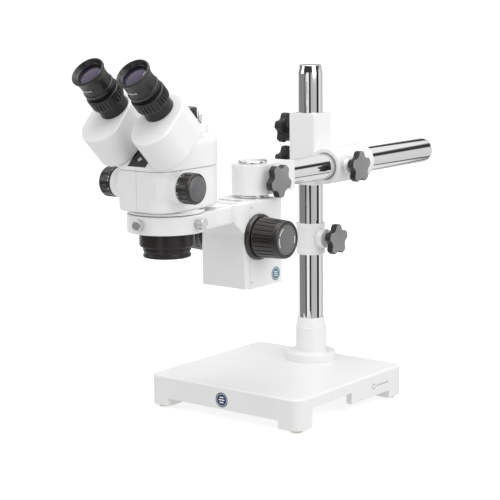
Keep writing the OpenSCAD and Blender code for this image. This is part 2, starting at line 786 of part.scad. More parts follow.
module prism_block(s) {
    barrel_frame(s) translate([s * 4.5 - 14, -32, -barrel_l + shell]) cube([28, 42, 28]);
}

module prism_right() color(glass) prism_block(1);

module prism_left() color(glass) prism_block(-1);

module eyetube(s) {
    barrel_frame(s) difference() {
        union() {
            translate([0, 0, -5]) cylinder(r = 16, h = 5);
            cylinder(r = eyetube_d / 2, h = 12);
            translate([0, 0, 12]) cylinder(r = 16.5, h = 17);
        }
        translate([0, 0, -6]) cylinder(r = eyepiece_r + fit, h = 40);
    }
}

module eyetube_right() color(black) eyetube(1);

module eyetube_left() color(black) eyetube(-1);

module dioptre_ring(s) {
    barrel_frame(s) translate([0, 0, 12.3]) difference() {
        cylinder(r = 20, h = 15.7);
        for (i = [0:29])
            rotate([0, 0, 12 * i]) translate([20.6, 0, 2.5]) cylinder(r = 1.3, h = 11, $fn = 16);
        translate([0, 0, -e]) cylinder(r = 16.5 + fit, h = 17);
    }
}

module dioptre_ring_right() color(black) dioptre_ring(1);

module dioptre_ring_left() color(black) dioptre_ring(-1);

module eyepiece(s) {
    barrel_frame(s) rotate_extrude() polygon([
        [12.5, 2], [eyepiece_r, 2], [eyepiece_r, 32], [18.4, 32], [18.4, 36.5],
        [17.3, 37.5], [17.1, 46], [18, 52], [19.6, 56], [19.8, 58], [18.6, 59],
        [16.6, 58], [15.4, 54.5], [12.5, 54.5],
    ]);
}

module eyepiece_right() color(black) eyepiece(1);

module eyepiece_left() color(black) eyepiece(-1);

module eye_lens(s) {
    barrel_frame(s) rotate_extrude() polygon(concat(
        [[0, 49], [12.5, 49]],
        [for (i = [0:6]) [12.5 * cos(15 * i), 52 + 2 * sin(15 * i)]]
    ));
}

module eye_lens_right() color(glass) eye_lens(1);

module eye_lens_left() color(glass) eye_lens(-1);

base_casting();
rubber_feet();
base_screws();
column_flange();
column_post();
stop_collar();
collar_knob();
column_liner();
cross_clamp();
upper_clamp_knob();
lower_clamp_knob();
arm_clamp_knob();
arm_liner();
boom_arm();
arm_head();
arm_set_screws();
head_lock_knob();
pivot_pin();
pin_cap();
focus_housing();
pinion_bushes();
tension_ring();
pinion_shaft();
focus_knob_right();
focus_knob_left();
focus_knob_caps();
head_holder();
dovetail_slide();
focus_rack();
ring_screw_front();
ring_screw_side();
pod_body();
pod_flange();
objective_mount();
objective_lenses();
pod_cover();
front_plate();
pod_screws();
photo_port();
photo_tube();
port_cap();
port_screw();
zoom_shaft();
zoom_knob_right();
zoom_knob_left();
upper_lens_group();
lower_lens_group();
guide_rods();
prism_housing_right();
prism_housing_left();
prism_right();
prism_left();
eyetube_right();
eyetube_left();
dioptre_ring_right();
dioptre_ring_left();
eyepiece_right();
eyepiece_left();
eye_lens_right();
eye_lens_left();
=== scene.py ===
import json
import math

import bmesh
import bpy
from mathutils import Matrix, Vector


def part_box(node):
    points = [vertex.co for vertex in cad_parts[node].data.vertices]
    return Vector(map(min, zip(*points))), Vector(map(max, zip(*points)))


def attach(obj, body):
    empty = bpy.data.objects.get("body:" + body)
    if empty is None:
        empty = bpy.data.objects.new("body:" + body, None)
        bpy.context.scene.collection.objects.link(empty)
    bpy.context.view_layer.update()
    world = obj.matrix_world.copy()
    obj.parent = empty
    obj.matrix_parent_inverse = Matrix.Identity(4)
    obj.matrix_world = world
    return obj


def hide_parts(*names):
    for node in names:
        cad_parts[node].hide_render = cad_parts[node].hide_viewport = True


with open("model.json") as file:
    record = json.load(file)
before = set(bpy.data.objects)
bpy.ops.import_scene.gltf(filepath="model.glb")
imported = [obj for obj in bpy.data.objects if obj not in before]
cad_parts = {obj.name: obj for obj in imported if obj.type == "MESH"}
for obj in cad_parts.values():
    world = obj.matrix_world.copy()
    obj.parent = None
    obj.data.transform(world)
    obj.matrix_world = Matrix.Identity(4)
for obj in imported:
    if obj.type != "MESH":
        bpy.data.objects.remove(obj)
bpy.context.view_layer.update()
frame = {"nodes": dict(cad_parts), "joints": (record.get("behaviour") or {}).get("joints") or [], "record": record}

MM = 0.001
NODES = frame["nodes"]
BODY_OF = {n: b for b, ns in frame["record"]["behaviour"]["bodies"].items() for n in ns}
SLOT_OF = {p["node"]: p["material_slot"] for p in frame["record"]["subparts"]}
JOINTS = {j["name"]: j for j in frame["joints"]}
X, Y, Z = Vector((1, 0, 0)), Vector((0, 1, 0)), Vector((0, 0, 1))


# ---------- materials ----------

def shader(name, colour, roughness, metallic=0.0, mottle=0.04, mottle_scale=25.0, rough_spread=0.06,
           grain=0.15, grain_scale=900.0, grain_height=0.00004, streak=(1, 1, 1), **sockets):
    """A surface whose colour, roughness and fine relief all vary a little, as on a made thing"""
    m = bpy.data.materials.new(name)
    m.use_nodes = True
    nodes, links = m.node_tree.nodes, m.node_tree.links
    bsdf = nodes["Principled BSDF"]
    coords = nodes.new("ShaderNodeTexCoord")
    stretch = nodes.new("ShaderNodeMapping")
    stretch.inputs["Scale"].default_value = streak
    links.new(coords.outputs["Object"], stretch.inputs["Vector"])

    def noise(scale, detail):
        n = nodes.new("ShaderNodeTexNoise")
        n.inputs["Scale"].default_value = scale
        n.inputs["Detail"].default_value = detail
        links.new(stretch.outputs["Vector"], n.inputs["Vector"])
        return n

    broad, fine = noise(mottle_scale, 4.0), noise(grain_scale, 2.0)
    ramp = nodes.new("ShaderNodeValToRGB")
    low, high = ramp.color_ramp.elements
    low.position, high.position = 0.3, 0.7
    low.color = (*[c * (1 - mottle) for c in colour], 1)
    high.color = (*[min(1, c * (1 + mottle)) for c in colour], 1)
    links.new(broad.outputs["Fac"], ramp.inputs["Fac"])
    links.new(ramp.outputs["Color"], bsdf.inputs["Base Color"])
    spread = nodes.new("ShaderNodeMapRange")
    spread.inputs["To Min"].default_value = max(0.0, roughness - rough_spread)
    spread.inputs["To Max"].default_value = roughness + rough_spread
    links.new(broad.outputs["Fac"], spread.inputs["Value"])
    links.new(spread.outputs["Result"], bsdf.inputs["Roughness"])
    if grain:
        bump = nodes.new("ShaderNodeBump")
        bump.inputs["Strength"].default_value = grain
        bump.inputs["Distance"].default_value = grain_height
        links.new(fine.outputs["Fac"], bump.inputs["Height"])
        links.new(bump.outputs["Normal"], bsdf.inputs["Normal"])
    bsdf.inputs["Metallic"].default_value = metallic
    for socket, value in sockets.items():
        bsdf.inputs[socket.replace("_", " ")].default_value = value
    return m


PAINT = shader("white_paint", (0.80, 0.80, 0.80), 0.38, mottle=0.012, grain=0.35, grain_scale=1400,
               Coat_Weight=0.12, Coat_Roughness=0.2)
BASE_PAINT = shader("base_paint", (0.80, 0.80, 0.795), 0.42, mottle=0.015, grain=0.5, grain_scale=1100,
                    grain_height=0.00006, Coat_Weight=0.08, Coat_Roughness=0.3)
CHROME = shader("hard_chrome", (0.80, 0.80, 0.81), 0.055, metallic=1.0, mottle=0.01, rough_spread=0.02,
                grain=0.06, grain_scale=2500, grain_height=0.00001, streak=(1, 1, 0.15))
STEEL = shader("turned_steel", (0.62, 0.62, 0.63), 0.24, metallic=1.0, mottle=0.05, mottle_scale=120,
               grain=0.3, grain_scale=2500, grain_height=0.00002)
NICKEL = shader("nickel_screw", (0.74, 0.74, 0.75), 0.26, metallic=1.0, mottle=0.04, mottle_scale=150,
                grain=0.25, grain_scale=2200, grain_height=0.00002)
BRASS = shader("machined_brass", (0.66, 0.48, 0.2), 0.28, metallic=1.0, mottle=0.06, grain=0.3)
RUBBER = shader("foot_rubber", (0.55, 0.52, 0.42), 0.75, mottle=0.08, mottle_scale=90, grain=0.6,
                grain_scale=1800, grain_height=0.00008)
STAR_BLACK = shader("star_knob_side", (0.012, 0.012, 0.013), 0.42, mottle=0.2, mottle_scale=60, grain=0.5,
                    grain_scale=2600, grain_height=0.00005)
# star knob face: same black plastic as the side, coloured lighter grey as a painted reflection of the lamp on the
# flat face
STAR_FACE_PAINTED_SHEEN = shader("star_knob_face_painted_sheen", (0.22, 0.22, 0.225), 0.42, mottle=0.10, mottle_scale=40, grain=0.6,
                   grain_scale=3000, grain_height=0.00005)
KNOB_BLACK = shader("gloss_black", (0.018, 0.015, 0.013), 0.27, mottle=0.15, mottle_scale=60, grain=0.3,
                    grain_scale=1800, grain_height=0.00003, Coat_Weight=0.3, Coat_Roughness=0.15)
ANODISED = shader("black_anodised", (0.022, 0.019, 0.018), 0.33, metallic=0.25, mottle=0.12, grain=0.25,
                  grain_scale=2400, grain_height=0.00002)
CUP_BLACK = shader("eyecup_black", (0.009, 0.008, 0.008), 0.38, mottle=0.12, grain=0.3, grain_scale=2000,
                   grain_height=0.00003, Coat_Weight=0.25, Coat_Roughness=0.2)
CAP_GREY = shader("cap_grey", (0.145, 0.145, 0.148), 0.4, mottle=0.05, mottle_scale=60, grain=0.4,
                  grain_scale=2400)
DOME_GREY = shader("dome_grey", (0.12, 0.12, 0.125), 0.34, mottle=0.08, mottle_scale=80, grain=0.5,
                   grain_scale=2600)
LINER = shader("liner_plastic", (0.30, 0.31, 0.33), 0.5, mottle=0.06, grain=0.4)
CELL = shader("lens_cell", (0.05, 0.05, 0.052), 0.4, metallic=0.5, mottle=0.1, grain=0.3)
# lens: its opaque near-black colour is painted shade of the unlit tube seen through the glass; the purple specular
# tint is the coating's own reflection
LENS_PAINTED_SHADE = shader("coated_lens_painted_shade", (0.012, 0.008, 0.02), 0.03, mottle=0.3, mottle_scale=40, rough_spread=0.01,
               grain=0.0, Specular_Tint=(0.6, 0.5, 0.95, 1), IOR=1.7, Coat_Weight=0.6, Coat_Roughness=0.01)
PRISM = shader("prism_glass", (0.55, 0.62, 0.66), 0.05, mottle=0.05, rough_spread=0.02, grain=0.05,
               Transmission_Weight=0.85, IOR=1.57)
WHITE_PRINT = shader("white_print", (0.85, 0.85, 0.84), 0.5, mottle=0.05, mottle_scale=300, grain=0.3)
GREY_PRINT = shader("grey_print", (0.36, 0.37, 0.38), 0.5, mottle=0.08, mottle_scale=300, grain=0.3)
NAVY = shader("navy_enamel", (0.012, 0.03, 0.12), 0.22, mottle=0.12, mottle_scale=200, grain=0.15,
              Coat_Weight=0.5, Coat_Roughness=0.08)
TEAL = shader("teal_enamel", (0.0, 0.12, 0.2), 0.25, mottle=0.2, mottle_scale=200, grain=0.15,
              Coat_Weight=0.5, Coat_Roughness=0.08)

SLOT_LOOK = {
    "base_paint": BASE_PAINT, "white_paint": PAINT, "chrome": CHROME, "steel": STEEL,
    "rubber_feet": RUBBER, "star_knob": STAR_BLACK, "black_plastic": KNOB_BLACK,
    "black_anodised": ANODISED, "grey_plastic": CAP_GREY, "liner_plastic": LINER, "brass": BRASS,
    "lens_cell": CELL, "optical_glass": PRISM,
}


# ---------- mesh tools ----------

def low(node):
    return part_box(node)[0]


def high(node):
    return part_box(node)[1]


def middle(node):
    return (low(node) + high(node)) / 2


def place(origin, axis, side=X):
    """Matrix of a local frame whose z is axis and whose x is as near to side as it can be"""
    z = Vector(axis).normalized()
    x = (Vector(side) - z * z.dot(Vector(side))).normalized()
    m = Matrix((x, z.cross(x), z)).transposed().to_4x4()
    m.translation = origin
    return m


def soften(points, closed=False, steps=4):
    """Rounds the corners of a profile of (r, z, fillet) points, in millimetres"""
    out = []
    n = len(points)
    for i, p in enumerate(points):
        fillet = p[2] if len(p) > 2 else 0
        here = Vector(p[:2])
        if not fillet or (not closed and i in (0, n - 1)):
            out.append(tuple(here))
            continue
        before, after = Vector(points[i - 1][:2]) - here, Vector(points[(i + 1) % n][:2]) - here
        reach = min(fillet, before.length * 0.48, after.length * 0.48)
        a, b = here + before.normalized() * reach, here + after.normalized() * reach
        for k in range(steps + 1):
            t = k / steps
            out.append(tuple(a * (1 - t) ** 2 + here * (2 * t * (1 - t)) + b * t * t))
    return out


def skin(bm, rings, closed, look):
    """Faces between rings of vertices; a ring of one vertex is a pole"""
    pairs = list(zip(rings, rings[1:])) + ([(rings[-1], rings[0])] if closed else [])
    for a, b in pairs:
        n = max(len(a), len(b))
        for i in range(n):
            j = (i + 1) % n
            loop = [a[i % len(a)], a[j % len(a)], b[j % len(b)], b[i % len(b)]]
            corners = [v for k, v in enumerate(loop) if v not in loop[:k]]
            if len(corners) > 2:
                bm.faces.new(corners).material_index = look


def lathe(bm, m, profile, segments=96, wave=None, closed=False, look=0):
    """Turns a profile of (r, z) round the local z axis; wave changes the radius by angle and height"""
    rings = []
    for r, z in profile:
        if r < 1e-6:
            rings.append([bm.verts.new(m @ (Vector((0, 0, z)) * MM))])
            continue
        ring = []
        for i in range(segments):
            a = 2 * math.pi * i / segments
            rr = r + (wave(a, z, r) if wave else 0)
            ring.append(bm.verts.new(m @ (Vector((rr * math.cos(a), rr * math.sin(a), z)) * MM)))
        rings.append(ring)
    skin(bm, rings, closed, look)


def loft(bm, m, rings, look=0, top_look=None):
    """Closed solid through outlines, each a (z, [(x, y), ...]) pair in millimetres"""
    made = [[bm.verts.new(m @ (Vector((x, y, z)) * MM)) for x, y in outline] for z, outline in rings]
    skin(bm, made, False, look)
    bm.faces.new(made[0]).material_index = look
    bm.faces.new(made[-1]).material_index = look if top_look is None else top_look


def arc(cx, cy, r, a0, a1, n):
    return [(cx + r * math.cos(math.radians(a0 + (a1 - a0) * i / n)),
             cy + r * math.sin(math.radians(a0 + (a1 - a0) * i / n))) for i in range(n + 1)]


def round_rect(w, d, r, inset=0.0, n=8):
    """Outline of a rectangle with round corners, centred on the origin"""
    x, y, rr = w / 2 - r, d / 2 - r, max(r - inset, 0.05)
    pts = []
    for cx, cy, a in ((x, y, 0), (-x, y, 90), (-x, -y, 180), (x, -y, 270)):
        pts += arc(cx, cy, rr, a, a + 90, n)
    if inset > r:
        pts = [(px * (1 - (inset - r) / (w / 2)), py * (1 - (inset - r) / (d / 2))) for px, py in pts]
    return pts


def round_at(x, y, w, d):
    return [(px + x, py + y) for px, py in round_rect(w, d, d * 0.45)]


def groove_wave(count, depth, share, z0, z1, fade=1.2):
    """Grooves cut along a turned part between two heights; share is the groove's part of one pitch"""
    def wave(a, z, r):
        t = (a * count / (2 * math.pi)) % 1.0
        edge = min(t, 1 - t) / (share / 2)
        along = min(1.0, max(0.0, (z - z0) / fade), max(0.0, (z1 - z) / fade))
        return -depth * along * max(0.0, min(1.0, (1.15 - edge) * 4))
    return wave


def piece(name, bm, looks, replaces=(), body=None, crease=35):
    """Makes the object and puts it on the body of the node that it stands for"""
    bmesh.ops.remove_doubles(bm, verts=bm.verts, dist=1e-7)
    bmesh.ops.recalc_face_normals(bm, faces=bm.faces)
    mesh = bpy.data.meshes.new(name)
    bm.to_mesh(mesh)
    bm.free()
    for look in looks if isinstance(looks, (list, tuple)) else [looks]:
        mesh.materials.append(look)
    mesh.shade_smooth()
    mesh.set_sharp_from_angle(angle=math.radians(crease))
    o = bpy.data.objects.new(name, mesh)
    bpy.context.scene.collection.objects.link(o)
    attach(o, body or BODY_OF[replaces[0]])
    if replaces:
        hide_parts(*replaces)
    return o


def cad_mesh(node):
    bm = bmesh.new()
    bm.from_mesh(NODES[node].data)
    bmesh.ops.remove_doubles(bm, verts=bm.verts, dist=1e-6)
    return bm


def softened(name, node, look, rules, crease=35):
    """The CAD node's own shape with its edges rounded: rules are (width in mm, test of an edge's middle)"""
    bm = cad_mesh(node)
    bmesh.ops.dissolve_limit(bm, angle_limit=math.radians(1), verts=bm.verts, edges=bm.edges)
    for width, wanted in rules:
        edges = [e for e in bm.edges if len(e.link_faces) == 2 and e.is_convex
                 and e.calc_face_angle(0) > math.radians(40)
                 and wanted((e.verts[0].co + e.verts[1].co) / 2 / MM)]
        bmesh.ops.bevel(bm, geom=edges, offset=width * MM, offset_type="OFFSET", segments=3,
                        profile=0.5, affect="EDGES", clamp_overlap=True)
    o = piece(name, bm, look, [node], crease=crease)
    o.modifiers.new("normals", "WEIGHTED_NORMAL").keep_sharp = True
    return o


def fused(bm, voxel, steps, factor=0.5, hold=None):
    """Melts overlapping closed solids into one skin and rounds its edges; hold keeps points in place"""
    mesh = bpy.data.meshes.new("fuse")
    bm.to_mesh(mesh)
    bm.free()
    o = bpy.data.objects.new("fuse", mesh)
    bpy.context.scene.collection.objects.link(o)
    remesh = o.modifiers.new("remesh", "REMESH")
    remesh.mode, remesh.voxel_size = "VOXEL", voxel * MM
    relax = o.modifiers.new("relax", "SMOOTH")
    relax.factor, relax.iterations = factor, steps
    out = bmesh.new()
    out.from_mesh(o.evaluated_get(bpy.context.evaluated_depsgraph_get()).to_mesh())
    bpy.data.objects.remove(o)
    if hold:
        for v in out.verts:
            v.co = hold(v.co / MM) * MM
    return out


def decal(name, m, outlines, looks, body, lift=0.05, thick=0.25):
    """Thin raised marks on a flat face: outlines are (look index, [(x, y), ...])"""
    bm = bmesh.new()
    for k, (look, outline) in enumerate(outlines):
        z = lift + 0.03 * k
        loft(bm, m, [(z - thick, outline), (z, outline)], look)
    return piece(name, bm, looks, body=body)


# ---------- base and column ----------

def make_base():
    top = high("base_casting").z / MM
    half_w, half_d = high("base_casting").x / MM, high("base_casting").y / MM

    def rim(p):
        return p.z > top - 0.5 and (abs(p.x) > half_w - 14 or abs(p.y) > half_d - 14)

    softened("base_shell", "base_casting", BASE_PAINT,
             [(2.6, rim), (0.9, lambda p: p.z < top - 4)])
    bm = bmesh.new()
    lo, hi = low("rubber_feet"), high("rubber_feet")
    foot = (hi.x - 104 * MM) / MM
    for sx in (-1, 1):
        for sy in (-1, 1):
            m = place((sx * (hi.x - foot * MM), sy * (hi.y - foot * MM), lo.z), Z)
            lathe(bm, m, soften([(0, 0), (foot - 0.4, 0, 0.8), (foot, 3.9, 0.3), (4.4, 4.0), (4.4, 9), (0, 9)]),
                  48)
    piece("foot_pads", bm, RUBBER, ["rubber_feet"])


def make_column():
    c = middle("column_post")
    m = place((c.x, c.y, 0), Z)
    bm = bmesh.new()
    lo, hi = low("column_flange"), high("column_flange")
    z0, z1 = lo.z / MM, hi.z / MM
    disc, sock = (hi.x - c.x) / MM, 20.0
    profile = soften([(16.05, z0), (disc, z0, 0.5), (disc, z0 + 10.5, 1.4), (sock + 0.6, z0 + 10.6, 0.8),
                      (sock, z0 + 12, 0.5), (sock, z1 - 12.3, 0.6), (sock - 0.7, z1 - 11.8, 0.3),
                      (sock - 0.5, z1 - 11.2, 0.4), (17.4, z1, 0.7), (16.05, z1, 0.2)], closed=True)
    lathe(bm, m, profile, closed=True)
    piece("flange_casting", bm, PAINT, ["column_flange"])
    bm = bmesh.new()
    top = high("column_post").z / MM
    lathe(bm, m, soften([(0, z0), (16, z0, 0.4), (16, top - 10, 1.5), (14.1, top - 0.6, 0.6),
                         (13.2, top, 0.3), (0, top)]), 128)
    piece("column_bar", bm, CHROME, ["column_post"])


def make_collar():
    c = middle("column_post")
    lo, hi = low("stop_collar"), high("stop_collar")
    z0, z1, zs = lo.z / MM, hi.z / MM, JOINTS["collar_screw_turn"]["pos_m"][2]
    m = place((c.x, c.y, 0), Z)
    bm = bmesh.new()
    rim = 6.0
    profile = soften([(16.1, z0, 0.3), (18.7, z0, 0.9), (18.7, z0 + rim, 0.8), (18.0, z0 + rim + 0.8, 0.5),
                      (18.0, z1 - rim - 0.8, 0.5), (18.7, z1 - rim, 0.8), (18.7, z1, 0.9),
                      (16.1, z1, 0.3)], closed=True)
    lathe(bm, m, profile, closed=True)
    boss = place((c.x, c.y, zs), X, Y)
    lathe(bm, boss, soften([(0, 16.8), (12.5, 16.8), (12.5, 25.6, 1.2), (3.2, 25.6, 0.4), (3.2, 24),
                            (0, 24)]), 64)
    piece("collar_casting", bm, PAINT, ["stop_collar"])


# ---------- star knobs ----------

def star_outline(inset, scale=1.0, n=20, lobes=5, r=20.0, cut=8.0, centre=22.6):
    """A disc with a round scallop between each two of its lobes; a lobe is centred on local x"""
    ring = []
    for i in range(lobes * n):
        a = 2 * math.pi * i / (lobes * n)
        d = (a % (2 * math.pi / lobes)) - math.pi / lobes
        rad = r
        under = cut * cut - (centre * math.sin(d)) ** 2
        if under > 0:
            rad = min(r, centre * math.cos(d) - math.sqrt(under))
        ring.append(rad)
    for _ in range(2):
        ring = [(ring[i - 1] + 2 * ring[i] + ring[(i + 1) % len(ring)]) / 4 for i in range(len(ring))]
    return [((q - inset) * scale * math.cos(2 * math.pi * i / len(ring)),
             (q - inset) * scale * math.sin(2 * math.pi * i / len(ring))) for i, q in enumerate(ring)]


def thread(r, z0, z1, pitch=1.0):
    """Profile of a screw thread's ridges between two heights"""
    out, z = [], z0
    while z < z1 - pitch:
        out += [(r, z), (r - 0.45, z + pitch * 0.5)]
        z += pitch
    return out + [(r, z1)]


def make_star(name, node, sign, lobe, t=10.0):
    c = middle(node)
    axis = X * sign
    face = high(node).x if sign > 0 else low(node).x
    stud = (high(node).x - low(node).x) / MM - t
    m = place((face - sign * t * MM, c.y, c.z), axis, lobe)
    joint = next(j for j in JOINTS.values() if j["child"] == BODY_OF[node])
    m.translation = Vector((m.translation.x, joint["pos_m"][1], joint["pos_m"][2]))
    bm = bmesh.new()
    rings = [(0.0, star_outline(1.2)), (0.5, star_outline(0.4)), (1.2, star_outline(0.0)),
             (8.3, star_outline(0.0)), (9.0, star_outline(0.25))]
    loft(bm, m, rings, 0)
    # face and crown take look 1, the lighter grey that paints the lamp's reflection on the black knob
    made = [(8.99, star_outline(0.25)), (9.45, star_outline(0.9)), (9.55, star_outline(1.6))]
    made += [(9.55 + 0.4 * (1 - k * k), star_outline(1.6, k)) for k in (0.8, 0.6, 0.4, 0.2, 0.05)]
    loft(bm, m, made, 1)
    lathe(bm, m, soften([(0, 0.2), (7.5, 0.2), (6.5, -1.0, 0.6), (6.5, -4, 0.7), (0, -4)]), 48)
    lathe(bm, m, [(0, -3.8)] + [(r, -z) for r, z in thread(3.0, 3.8, stud)] + [(0, -stud)], 32, look=2)
    piece(name, bm, [STAR_BLACK, STAR_FACE_PAINTED_SHEEN, STEEL], [node], crease=30)


# ---------- clamp and boom ----------

def make_clamp():
    bm = cad_mesh("cross_clamp")
    bore_c, bore_r = middle("column_post"), (high("column_post").x - middle("column_post").x) / MM + 1.3

    def hold(p):
        d = Vector((p.x - bore_c.x / MM, p.y - bore_c.y / MM, 0))
        if 1 < d.length < bore_r:
            d.normalize()
            p = Vector((bore_c.x / MM + d.x * bore_r, bore_c.y / MM + d.y * bore_r, p.z))
        return p
    piece("clamp_casting", fused(bm, 0.75, 5, hold=hold), PAINT, ["cross_clamp"], crease=50)
    c = middle("boom_arm")
    m = place((c.x, low("boom_arm").y, c.z), Y)
    r, l = (high("boom_arm").x - c.x) / MM, (high("boom_arm").y - low("boom_arm").y) / MM
    bm = bmesh.new()
    lathe(bm, m, soften([(0, 0), (r, 0, 0.4), (r, l, 4.0), (0, l)], steps=8), 128)
    piece("boom_bar", bm, CHROME, ["boom_arm"])
    for node, axis in (("arm_liner", Y), ("column_liner", Z)):
        c, lo, hi = middle(node), low(node), high(node)
        m = place(lo * 1.0, axis)
        m.translation = Vector((c.x, lo.y, c.z)) if axis == Y else Vector((c.x, c.y, lo.z))
        length = ((hi - lo).dot(axis)) / MM
        bm = bmesh.new()
        lathe(bm, m, soften([(16.05, 0), (17.25, 0, 0.3), (17.25, length, 0.3), (16.05, length, 0.2)],
                            closed=True), closed=True)
        piece(node + "_sleeve", bm, LINER, [node])


def make_arm_head():
    lo, hi = low("arm_head"), high("arm_head")
    softened("arm_head_casting", "arm_head", PAINT, [(0.9, lambda p: True)])
    c = Vector(JOINTS["focus_unit_swing"]["pos_m"])
    m = place((c.x, c.y, 0), Z)
    bm = bmesh.new()
    z0, z1 = low("pin_cap").z / MM, high("pin_cap").z / MM
    r = (high("pin_cap").x - c.x) / MM
    lathe(bm, m, soften([(0, z0), (r - 0.3, z0), (r, z0 + 0.4, 0.2), (r, z1 - 0.8, 0.4), (r - 0.9, z1, 0.4),
                         (11.2, z1), (10.8, z1 - 0.35), (10.4, z1), (0, z1)]), 96)
    piece("pin_cap_disc", bm, CHROME, ["pin_cap"])
    bm = bmesh.new()
    z0, z1 = low("pivot_pin").z / MM, high("pivot_pin").z / MM
    seat = high("focus_housing").z / MM
    lathe(bm, m, soften([(0, z0), (8, z0, 0.4), (8, seat), (19, seat, 0.3), (19, seat + 2.5, 0.5),
                         (16, seat + 2.5), (16, lo.z / MM - 0.3, 0.3), (12, lo.z / MM - 0.3), (12, z1, 0.2),
                         (0, z1)]), 96)
    piece("pivot_spindle", bm, CHROME, ["pivot_pin"])


# ---------- focus unit ----------

def make_focus_housing():
    front_y = low("focus_housing").y / MM
    middle_x = middle("focus_housing").x / MM
    softened("focus_casting", "focus_housing", PAINT,
             [(0.8, lambda p: p.y > front_y + 1 or abs(p.x - middle_x) > 25)])
    c, face = middle("focus_housing"), high("focus_housing").x
    lo = low("focus_housing")
    m = place((face, 0, 0), X, Y)
    y, z = -93.3, lo.z / MM + 12.0
    disc = arc(y, z, 8.2, 0, 360, 48)[:-1]
    band = arc(y, z, 6.9, 0, 360, 48)[:-1]
    core = arc(y, z, 6.2, 0, 360, 48)[:-1]
    stripes = [(1, round_at(y, z + dz, 7.0, 1.1)) for dz in (-2.4, 0, 2.4)]
    decal("side_badge", m, [(0, disc), (1, band), (0, core)] + stripes, [TEAL, WHITE_PRINT], "focus_unit",
          lift=0.12)
    screw = bmesh.new()
    for dz in (8.0, high("focus_housing").z / MM - lo.z / MM - 6.0):
        p = place((face - 0.35 * MM, lo.y + 3.4 * MM, lo.z + dz * MM), X, Y)
        lathe(screw, p, soften([(0, 0.1), (1.2, 0.1), (1.5, 0.42, 0.2), (0, 0.42)]), 24)
    piece("housing_grub_screws", screw, STEEL, body="focus_unit")


def focus_knob(bm, m, length, ribs=24):
    wave = groove_wave(ribs, 0.95, 0.26, 1.2, length - 6.5)
    lathe(bm, m, soften([(4.05, 0), (22.6, 0, 0.3), (24.2, 0.6, 0.5), (24.0, 6, 0), (23.6, 12, 0),
                         (23.2, 18, 0), (22.9, length - 8.2), (22.7, length - 5.0, 0.5),
                         (22.0, length - 4.2, 0.3), (22.5, length - 3.4, 0.4), (22.3, length - 1.4, 0.8),
                         (20.6, length, 0.8), (18.6, length, 0.3), (18.3, length - 1.4, 0.2),
                         (4.05, length - 1.4)], closed=True, steps=3), ribs * 14, wave, closed=True)


def make_focus_drive():
    c = Vector(JOINTS["focus_knob_turn"]["pos_m"])
    lo, hi = low("focus_knob_right"), high("focus_knob_right")
    length = (hi.x - lo.x) / MM
    bm = bmesh.new()
    m = place((lo.x, c.y, c.z), X, Y)
    focus_knob(bm, m, length)
    piece("focus_knob_right_body", bm, KNOB_BLACK, ["focus_knob_right"], crease=28)
    bm = bmesh.new()
    mirror = place((high("focus_knob_left").x - ((high("focus_knob_left").x - low("focus_knob_left").x)
                                                 - length * MM), c.y, c.z), -X, Y)
    focus_knob(bm, mirror, length)
    base = place((high("focus_knob_left").x, c.y, c.z), -X, Y)
    tension_profile = [(4.05, 0.0), (27.5, 0, 0.3), (27.5, 2.6, 0.9), (26.2, 5.2, 0.6), (25.4, 5.8, 0.4),
                       (4.05, 5.8)]
    lathe(bm, base, soften(tension_profile, closed=True), 128, closed=True)
    piece("focus_knob_left_body", bm, KNOB_BLACK, ["focus_knob_left"], crease=28)
    bm = bmesh.new()
    ring = place((low("tension_ring").x, c.y, c.z), X, Y)
    lathe(bm, ring, soften(tension_profile, closed=True), 128, closed=True)
    piece("tension_collar", bm, KNOB_BLACK, ["tension_ring"], crease=28)
    bm = bmesh.new()
    lo, hi = low("focus_knob_caps"), high("focus_knob_caps")
    for sign, face in ((1, hi.x), (-1, lo.x)):
        cap = place((face, c.y, c.z), X * sign, Y)
        lathe(bm, cap, soften([(0, -1.2), (18.1, -1.2), (18.1, -0.35, 0.3), (17.4, -0.3), (17.1, -0.55),
                               (16.8, -0.4), (0, -0.25)]), 96)
        for a0, a1 in ((118, 160), (168, 212), (-20, 12)):
            for k in range(5):
                s = a0 + (a1 - a0) * k / 5
                out = arc(0, 0, 15.6, s, s + (a1 - a0) * 0.15, 3)
                back = list(reversed(arc(0, 0, 14.3, s, s + (a1 - a0) * 0.15, 3)))
                loft(bm, cap, [(-0.5, out + back), (-0.12, out + back)], 1)
    piece("focus_cap_discs", bm, [CAP_GREY, WHITE_PRINT], ["focus_knob_caps"])


def make_holder():
    bm = cad_mesh("head_holder")
    c = Vector(JOINTS["head_rotation"]["pos_m"]) / MM
    bore = 38.12

    def hold(p):
        d = Vector((p.x - c.x, p.y - c.y, 0))
        if 30 < d.length < bore:
            d.normalize()
            p = Vector((c.x + d.x * bore, c.y + d.y * bore, p.z))
        return p
    piece("holder_casting", fused(bm, 0.85, 9, 0.6, hold), PAINT, ["head_holder"], crease=55)


def make_thumb_screw(name, node, axis, side, stud_r=2.5):
    """Knurled head with a chamfered face, on its stud"""
    lo, hi = low(node), high(node)
    joint = Vector(next(j for j in JOINTS.values() if j["child"] == BODY_OF[node])["pos_m"])
    along = [Vector(v).dot(axis) for v in (lo, hi)]
    reach, start = max(along), min(along)
    m = place(joint + axis * (reach - joint.dot(axis)), axis, side)
    head, r, total = 7.5, 6.5, (reach - start) / MM
    knurl = groove_wave(36, 0.28, 0.5, -head + 0.6, -0.9, 0.4)
    bm = bmesh.new()
    lathe(bm, m, soften([(0, -head), (r - 0.5, -head, 0.2), (r, -head + 0.6), (r, -4.0), (r, -0.9),
                         (r - 0.8, -0.1, 0.2), (r - 1.6, 0), (r - 1.9, -0.25, 0.1), (0, -0.2)]), 36 * 6, knurl)
    stud = [(q, -z) for q, z in thread(stud_r, head - 0.2, total, 0.8)]
    lathe(bm, m, [(0, -head + 0.2)] + stud + [(0, -total)], 32)
    piece(name, bm, NICKEL, [node], crease=28)


# ---------- microscope head ----------

